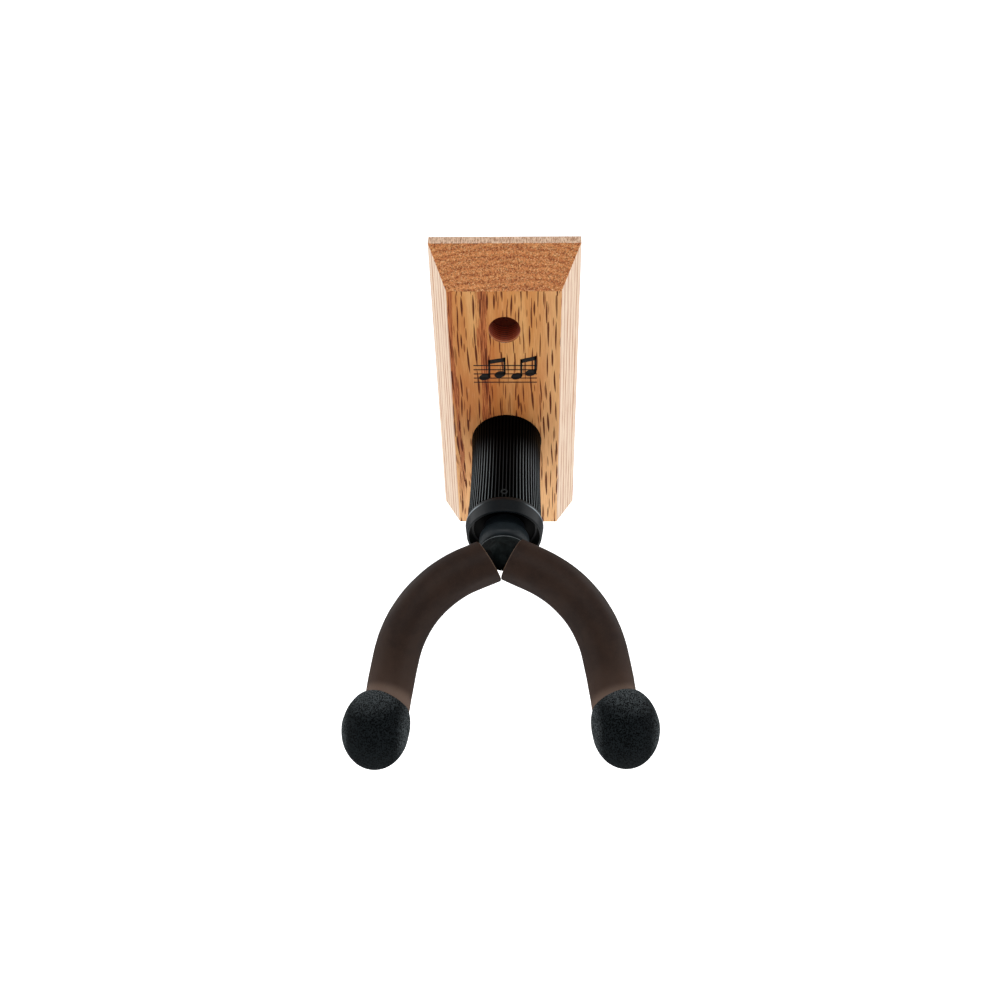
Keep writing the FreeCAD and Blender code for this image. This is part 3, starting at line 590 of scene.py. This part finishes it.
def oak_face(g, x, z):
    """Broad faces: honey ground, red streaks, fine upright fibres, dark lens-shaped ray ends."""
    ground = g.noise(g.coords((0.16, 0.1, 0.022)), 1.0, 3.0, 0.55)
    honey = g.ramp(ground, [(0.32, rgb(202, 124, 64)), (0.5, rgb(218, 152, 88)), (0.70, rgb(232, 176, 112))])
    fibre = g.noise(g.coords((4.2, 4.2, 0.13)), 1.0, 3.0, 0.65)
    # painted light: the ground is painted lighter towards the bottom of the face, where light and glare are
    # stronger; it is also lighter towards the right edge
    honey = g.blend(g.span(z, 6.0, -46.0, 0.0, 0.55), honey, rgba(250, 204, 152))
    honey = g.blend(g.span(x, 8.0, 14.0, 0.0, 0.4), honey, rgba(242, 192, 138))
    # painted shade: a darker brown band across the middle of the face round the sleeve, fading out towards the
    # right
    middle = g.span(g.math("ABSOLUTE", g.math("SUBTRACT", z, 7.0)), 20.0, 3.0, 0.0, 0.5)
    honey = g.blend(g.math("MULTIPLY", middle, g.span(x, 13.0, 5.0, 0.1, 1.0)), honey, rgba(186, 104, 48))
    face = g.blend(g.span(fibre, 0.40, 0.72, 0.0, 0.5), honey, rgba(178, 104, 56))
    face = g.blend(g.span(fibre, 0.42, 0.28, 0.0, 0.45), face, rgba(238, 190, 136))
    wave = g.math("SUBTRACT", g.noise(g.coords((0.1, 0.1, 0.05)), 1.0, 2.0), 0.5)
    lean = g.math("ADD", x, g.math("MULTIPLY", wave, 3.2))
    rough_edge = g.noise(g.coords((2.6, 2.6, 0.07)), 1.0, 4.0, 0.7)
    streaks = None
    for centre, half, drift in ((-14.9, 1.0, -0.012), (-6.4, 1.2, -0.006)):
        line = g.math("ADD", g.math("MULTIPLY", z, drift), centre)
        off = g.math("DIVIDE", g.math("ABSOLUTE", g.math("SUBTRACT", lean, line)), half)
        ragged = g.math("ADD", off, g.math("MULTIPLY", g.math("SUBTRACT", rough_edge, 0.5), 5.0))
        band = g.math("MULTIPLY", g.span(ragged, 1.06, 0.9), g.span(z, -44.0, -18.0, 0.2, 1.0))
        streaks = band if streaks is None else g.math("MAXIMUM", streaks, band)
    red = g.blend(g.span(fibre, 0.42, 0.58), rgba(196, 112, 64), rgba(122, 50, 22))
    face = g.blend(g.math("MULTIPLY", streaks, 0.85), face, red)
    sway = g.math("MULTIPLY", g.math("SUBTRACT", g.noise(g.coords((0.05, 0.05, 0.022)), 1.0, 2.0), 0.5), 4.0)
    leaning = g.math("ADD", x, g.math("ADD", sway, g.math("MULTIPLY", z, 0.02)))
    bold = dashes(g, leaning, z, 2.4, 9.0, 0.27, 5.1, 0.92)
    fine = dashes(g, g.math("ADD", leaning, 7.7), g.math("ADD", z, 3.1), 1.9, 6.2, 0.2, 2.8, 0.4)
    face = g.blend(g.math("MULTIPLY", fine, 0.75), face, rgba(122, 60, 28))
    face = g.blend(g.math("MULTIPLY", bold, 0.97), face, rgba(88, 36, 14))
    return face, fibre, g.math("MAXIMUM", bold, g.math("MULTIPLY", fine, 0.5))


def oak_end(g, x, y, flat_top):
    """Cut ends: arched growth rings drawn by rows of dark pores in a speckled honey ground."""
    wobble = g.noise(g.coords((0.10, 0.16, 0.0)), 1.0, 3.0, 0.5)
    arch = g.math("MULTIPLY", g.math("POWER", g.math("ADD", x, 22.0), 2.0), -0.009)
    ring = g.math("ADD", g.math("SUBTRACT", g.math("MULTIPLY", x, 0.42), y), arch)
    ring = g.math("ADD", ring, g.math("MULTIPLY", wobble, 5.0))
    wave = g.span(g.math("SINE", g.math("MULTIPLY", ring, 2.5)), -1.0, 1.0, smooth=False)
    even = g.coords((1.5, 1.5, 1.5))
    cells = g.add("ShaderNodeTexVoronoi", {"Vector": even, "Scale": 1.0, "Randomness": 1.0}, feature="F1")
    spots = g.span(cells.outputs["Distance"], 0.46, 0.24)
    pores = g.math("MULTIPLY", spots, g.span(wave, 0.5, 1.0, 0.3, 0.9))
    speckle = g.noise(g.coords((1.5, 1.7, 1.0)), 1.0, 3.0, 0.9)
    flecks = g.noise(g.coords((1.5, 1.3, 0.9)), 1.27, 3.0, 0.9)
    grain = g.blend(wave, rgba(222, 146, 88), rgba(200, 120, 72))
    grain = g.blend(g.span(speckle, 0.48, 0.60, 0.0, 0.8), grain, rgba(120, 52, 22))
    grain = g.blend(g.span(flecks, 0.53, 0.64, 0.0, 0.8), grain, rgba(255, 208, 146))
    grain = g.blend(g.math("MULTIPLY", pores, 0.85), grain, rgba(104, 48, 22))
    ticks = g.noise(g.coords((2.4, 0.4, 0.4)), 1.0, 3.0, 0.8)
    sawn = g.blend(g.span(ticks, 0.40, 0.64), rgba(255, 226, 198), rgba(176, 130, 102))
    return g.blend(g.math("MULTIPLY", flat_top, 0.85), grain, sawn), g.math("MAXIMUM", pores, speckle)


def oak_side(g, y, z):
    """Long sides: pale, partly the paler side grain and partly painted glare and sheen from the side light, with
    straight upright growth lines of uneven strength.
    """
    slow = g.math("MULTIPLY", g.noise(g.coords((0.3, 0.1, 0.012)), 1.0, 2.0), 3.0)
    depth = g.math("ADD", g.math("ADD", y, slow), g.math("MULTIPLY", z, 0.006))
    wide = g.span(g.math("SINE", g.math("MULTIPLY", depth, 2.5)), 0.1, 0.95)
    thin = g.span(g.math("SINE", g.math("MULTIPLY", depth, 5.9)), 0.3, 1.0, 0.0, 0.8)
    fibre = g.noise(g.coords((1.2, 1.6, 0.06)), 1.0, 3.0, 0.7)
    lines = g.math("MULTIPLY", g.math("MAXIMUM", wide, thin), g.span(fibre, 0.35, 0.60, 0.25, 1.0))
    pale = g.blend(lines, rgba(252, 230, 206), rgba(200, 142, 108))
    return g.blend(g.span(fibre, 0.58, 0.72, 0.0, 0.7), pale, rgba(190, 130, 96))


def make_oak():
    g = Graph("oiled_oak")
    place = g.split(g.coords())
    x, y, z = place[0], place[1], place[2]
    normal = g.split(g.add("ShaderNodeTexCoord").outputs["Normal"])
    side = g.span(g.math("ABSOLUTE", normal[0]), 0.55, 0.8)
    end = g.span(g.math("ABSOLUTE", normal[2]), 0.55, 0.8)
    flat_top = g.span(g.math("ABSOLUTE", normal[2]), 0.955, 0.985)
    face, fibre, marks = oak_face(g, x, z)
    grain, pores = oak_end(g, x, y, flat_top)
    wood = g.blend(end, g.blend(side, face, oak_side(g, y, z)), grain)

    # the drilled recesses: scorched and redder than the faces, and darker inside partly from painted shade; none
    # of it shows on the back face
    deep = g.math("SUBTRACT", y, PLATE_FRONT)
    below = g.span(y, -0.05, -0.3)
    turned = g.math("ADD", g.math("SINE", g.math("MULTIPLY", deep, 6.5)), pores)
    hole = radius_from(g, x, g.math("SUBTRACT", g.math("ABSOLUTE", z), SCREW_HEIGHT))
    inside = g.math("MULTIPLY", g.span(hole, SCREW_RECESS_R + 0.12, SCREW_RECESS_R + 0.02), below)
    inside = g.math("MULTIPLY", inside, g.span(deep, 0.04, 0.25))
    scorch_and_shade = g.blend(g.span(deep, 1.0, 1.5), rgba(216, 136, 92), rgba(178, 84, 58))
    scorch_and_shade = g.blend(g.span(deep, 5.5, 7.9), scorch_and_shade, rgba(170, 84, 60))
    scorch_and_shade = g.blend(g.math("MULTIPLY", g.span(turned, 0.4, 1.4), 0.7), scorch_and_shade, rgba(84, 32, 20))
    wood = g.blend(g.math("MULTIPLY", inside, 0.95), wood, scorch_and_shade)

    # the bore for the nut, and painted contact shade, black, on the wood at the seat of the sleeve
    seat = radius_from(g, x, g.math("SUBTRACT", z, AXIS_Z))
    bored = g.math("MULTIPLY", g.span(seat, NUT_RECESS_R + 0.15, NUT_RECESS_R + 0.05), below)
    bored = g.math("MULTIPLY", bored, g.span(deep, 4.0, 5.0))
    cut = g.blend(g.span(turned, 0.2, 1.3, 0.1, 0.9), rgba(206, 146, 98), rgba(150, 88, 52))
    wood = g.blend(bored, wood, cut)
    # painted shade: the wood just round the sleeve's rear edge is painted black, hiding the ends of its ridges
    painted_contact_shade = g.math("MULTIPLY", g.span(seat, SLEEVE_SEAT_R + 0.1, SLEEVE_SEAT_R), g.span(deep, 0.3, 0.1))
    wood = g.blend(painted_contact_shade, wood, rgba(8, 6, 5))

    g.set("Base Color", wood)
    g.set("Roughness", g.math("ADD", g.span(fibre, 0.3, 0.8, 0.45, 0.6), g.math("MULTIPLY", marks, 0.15)))
    g.set("Specular IOR Level", 0.14)
    relief = g.math("SUBTRACT", g.math("MULTIPLY", fibre, 0.35), g.math("MULTIPLY", marks, 0.6))
    relief = g.math("SUBTRACT", relief, g.math("MULTIPLY", g.math("MULTIPLY", pores, end), 0.8))
    g.bump(relief, 0.05, 0.6)
    return g.material


def make_plastic(name, base, sheen_spot, rough, speck_scale, relief, gloss=0.5, painted_light=None, ior=1.5):
    """Moulded or enamelled black: faint mottling, uneven gloss and a fine surface."""
    g = Graph(name)
    cloud = g.noise(g.coords(), 0.35, 4.0, 0.6)
    tone = g.blend(g.span(cloud, 0.35, 0.7), (*base, 1.0), (*sheen_spot, 1.0))
    # painted light: a part may add painted highlights and painted shade to its tone here
    if painted_light:
        place = g.split(g.coords())
        tone = painted_light(g, tone, place[0], place[1], g.math("SUBTRACT", place[2], AXIS_Z))
    g.set("Base Color", tone)
    fine = g.noise(g.coords(), speck_scale, 3.0, 0.6)
    g.set("Roughness", g.span(fine, 0.3, 0.7, rough - 0.03, rough + 0.04))
    g.set("Specular IOR Level", gloss)
    g.set("IOR", ior)
    g.bump(fine, relief, 0.5)
    return g.material


def sleeve_painted_highlights(g, tone, x, y, up):
    """The crests of the sleeve's ridges carry painted highlights, light lines most at its sides and near the
    collar.
    """
    comb = g.math("COSINE", g.math("MULTIPLY", g.math("ARCTAN2", up, x), SLEEVE_RIDGES))
    crest = g.math("MULTIPLY", g.span(comb, -0.7, -1.0), g.span(radius_from(g, x, up), 9.6, 10.0))
    sides = g.span(g.math("ABSOLUTE", x), 2.0, 6.0, 0.12, 1.0)
    fade = g.span(y, SLEEVE_FRONT + 31.0, SLEEVE_FRONT + 17.0)
    return g.blend(g.math("MULTIPLY", crest, g.math("MULTIPLY", sides, fade)), tone, rgba(126, 132, 134))


def collar_painted_light_and_shade(g, tone, x, y, up):
    """The collar has a painted highlight at the sides of its widest edge, and painted shade, nearly black, inside
    its opening.
    """
    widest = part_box("cup_collar")[1].y / MM - COLLAR_WIDEST_IN
    edge = g.span(g.math("ABSOLUTE", g.math("SUBTRACT", y, widest)), 0.42, 0.08)
    sides = g.span(g.math("ABSOLUTE", x), 5.5, 9.0)
    tone = g.blend(g.math("MULTIPLY", edge, sides), tone, rgba(146, 156, 162))
    inside = g.span(radius_from(g, x, up), COLLAR_OPENING_R + 0.2, COLLAR_OPENING_R)
    return g.blend(inside, tone, rgba(1, 2, 2))


def make_metal(name, base, rough):
    """Plated steel with turning marks round the pivot axis."""
    g = Graph(name)
    cloud = g.noise(g.coords(), 0.6, 4.0, 0.6)
    tint = tuple(c * 0.8 for c in base)
    g.set("Base Color", g.blend(g.span(cloud, 0.3, 0.7), (*base, 1.0), (*tint, 1.0)))
    g.set("Metallic", 1.0)
    marks = g.noise(g.coords((0.4, 9.0, 0.4)), 1.0, 2.0, 0.6)
    g.set("Roughness", g.span(marks, 0.3, 0.7, rough - 0.06, rough + 0.1))
    g.bump(marks, 0.01, 0.4)
    return g.material


def make_rubber(name, deep, light, paler, dust_amount, painted_light_spot=None):
    """Satin rubber: slow colour clouds under a fine dusty grain."""
    g = Graph(name)
    cloud = g.noise(g.coords(), 0.16, 4.0, 0.6)
    tone = g.blend(g.span(cloud, 0.3, 0.7), deep, light)
    dust = g.noise(g.coords(), 5.0, 3.0, 0.7)
    tone = g.blend(g.span(dust, 0.5, 0.8, 0.0, dust_amount), tone, paler)
    # painted light: the tube is painted paler towards the ball, where its end turns to the light, and a painted
    # highlight band runs just behind the ball
    if painted_light_spot:
        place = g.split(g.coords())
        spot = g.join(g.math("ABSOLUTE", place[0]), place[1], place[2])
        away = g.add("ShaderNodeVectorMath", {0: spot, 1: painted_light_spot}, operation="DISTANCE").outputs["Value"]
        tone = g.blend(g.span(away, 24.0, 10.5, 0.0, 0.42), tone, paler)
        tone = g.blend(g.span(g.math("ADD", away, dust), 13.4, 10.6, 0.0, 0.48), tone, rgba(134, 112, 98))
    g.set("Base Color", tone)
    g.set("Roughness", g.span(dust, 0.3, 0.7, 0.46, 0.6))
    g.set("Specular IOR Level", 0.14)
    g.bump(g.math("ADD", dust, g.math("MULTIPLY", cloud, 0.5)), 0.03, 0.5)
    return g.material


def make_foam():
    g = Graph("pitted_black_foam")
    cells = g.add("ShaderNodeTexVoronoi", {"Vector": g.coords(), "Scale": 2.7, "Randomness": 1.0},
                  feature="F1").outputs["Distance"]
    grit = g.noise(g.coords(), 2.8, 3.0, 0.75)
    pits = g.math("ADD", g.span(cells, 0.0, 0.6), g.math("MULTIPLY", grit, 0.8))
    # painted light: the pitted skin is painted pale where it faces up, back or to either side, as painted
    # highlights round the ball's rims; elsewhere it stays black
    facing = g.split(g.add("ShaderNodeTexCoord").outputs["Normal"])
    painted_top_light = g.span(g.math("ADD", facing[1], facing[2]), 0.6, 1.45, 0.0, 0.9)
    painted_side_light = g.span(g.math("ABSOLUTE", facing[0]), 0.68, 1.02, 0.0, 0.85)
    paler = g.math("MAXIMUM", painted_top_light, painted_side_light)
    black = g.blend(g.span(pits, 1.05, 1.4), rgba(1, 2, 2), rgba(27, 32, 34))
    lit_pits = g.blend(g.span(pits, 1.08, 1.4), rgba(8, 10, 11), rgba(96, 102, 104))
    g.set("Base Color", g.blend(paler, black, lit_pits))
    g.set("Roughness", g.span(grit, 0.3, 0.7, 0.6, 0.8))
    g.set("Specular IOR Level", 0.04)
    g.bump(pits, 0.5, 1.0)
    return g.material


def make_ink():
    g = Graph("black_print")
    patchy = g.noise(g.coords(), 2.2, 4.0, 0.7)
    g.set("Base Color", g.blend(g.span(patchy, 0.4, 0.75), rgba(14, 11, 10), rgba(34, 24, 18)))
    g.set("Roughness", g.span(patchy, 0.3, 0.7, 0.5, 0.7))
    g.set("Specular IOR Level", 0.25)
    g.bump(patchy, 0.01, 0.4)
    return g.material


def dress(materials):
    """Give every carried-over CAD node its finish, by the record's slot for it."""
    slots = {part["node"]: part["material_slot"] for part in frame["record"]["subparts"]}
    for name, node in frame["nodes"].items():
        node.data.materials.clear()
        node.data.materials.append(materials[slots[name]])


def make_materials():
    """One finish for each material slot of the record."""
    ball_spot = tuple(arm_station(1, tip_start(1) + BALL_CENTRE)[0])
    return {
        "oak": make_oak(),
        "sleeve_plastic": make_plastic("matte_moulded_black", rgb(2, 2, 2), rgb(4, 4, 4), rough=0.4,
                                       speck_scale=4.0, relief=0.006, gloss=0.1, painted_light=sleeve_painted_highlights, ior=1.2),
        "collar_plastic": make_plastic("satin_moulded_black", rgb(8, 13, 16), rgb(13, 18, 21), rough=0.36,
                                       speck_scale=3.0, relief=0.02, gloss=0.18, painted_light=collar_painted_light_and_shade),
        "gloss_black": make_plastic("black_enamel", rgb(6, 10, 10), rgb(26, 32, 32), rough=0.7,
                                    speck_scale=0.9, relief=0.08, ior=1.16),
        "rod_steel": make_plastic("enamelled_rod", rgb(4, 5, 5), rgb(9, 11, 11), rough=0.6,
                                  speck_scale=1.6, relief=0.03, gloss=0.2, ior=1.2),
        "zinc_steel": make_metal("zinc_plate", rgb(196, 196, 190), rough=0.3),
        "nylon": make_plastic("natural_nylon", rgb(226, 222, 208), rgb(236, 232, 220), rough=0.4,
                              speck_scale=2.0, relief=0.02),
        "brown_rubber": make_rubber("brown_rubber", rgba(38, 25, 19), rgba(48, 33, 25), rgba(78, 58, 47),
                                    dust_amount=0.35, painted_light_spot=ball_spot),
        "black_foam": make_foam(),
    }


def make_pieces(materials):
    """The pieces that CAD can't draw in full, each with its own finish."""
    bell = make_plastic("bell_enamel", rgb(20, 27, 31), rgb(27, 35, 39), rough=0.45,
                        speck_scale=1.6, relief=0.03, gloss=0.3)
    frame["nodes"]["front_bush"].data.materials[0] = bell
    hub = make_hub()
    hub.data.materials.append(materials["gloss_black"])
    # painted highlight on the flange's front edge
    hub.data.materials.append(make_plastic("painted_highlight_enamel_edge", rgb(84, 90, 92), rgb(112, 118, 120), rough=0.4,
                                           speck_scale=1.5, relief=0.03))
    make_mark().data.materials.append(make_ink())
    make_gate_mark().data.materials.append(
        make_plastic("rubbed_gate_black", rgb(38, 39, 39), rgb(54, 55, 55), rough=0.5,
                     speck_scale=4.0, relief=0.006, gloss=0.1, ior=1.2))
    cut_rubber = make_rubber("cut_rubber", rgba(70, 54, 44), rgba(92, 74, 60), rgba(120, 98, 82),
                             dust_amount=0.5)
    for side_name, side in (("left", -1), ("right", 1)):
        tube = make_tube(side_name + "_arm_tube_skin", side)
        tube.data.materials.append(materials["brown_rubber"])
        tube.data.materials.append(cut_rubber)
        ball = make_ball(side_name + "_end_ball_skin", side)
        ball.data.materials.append(materials["black_foam"])


make_camera()
make_stage()
make_lights()
finishes = make_materials()
dress(finishes)
make_pieces(finishes)
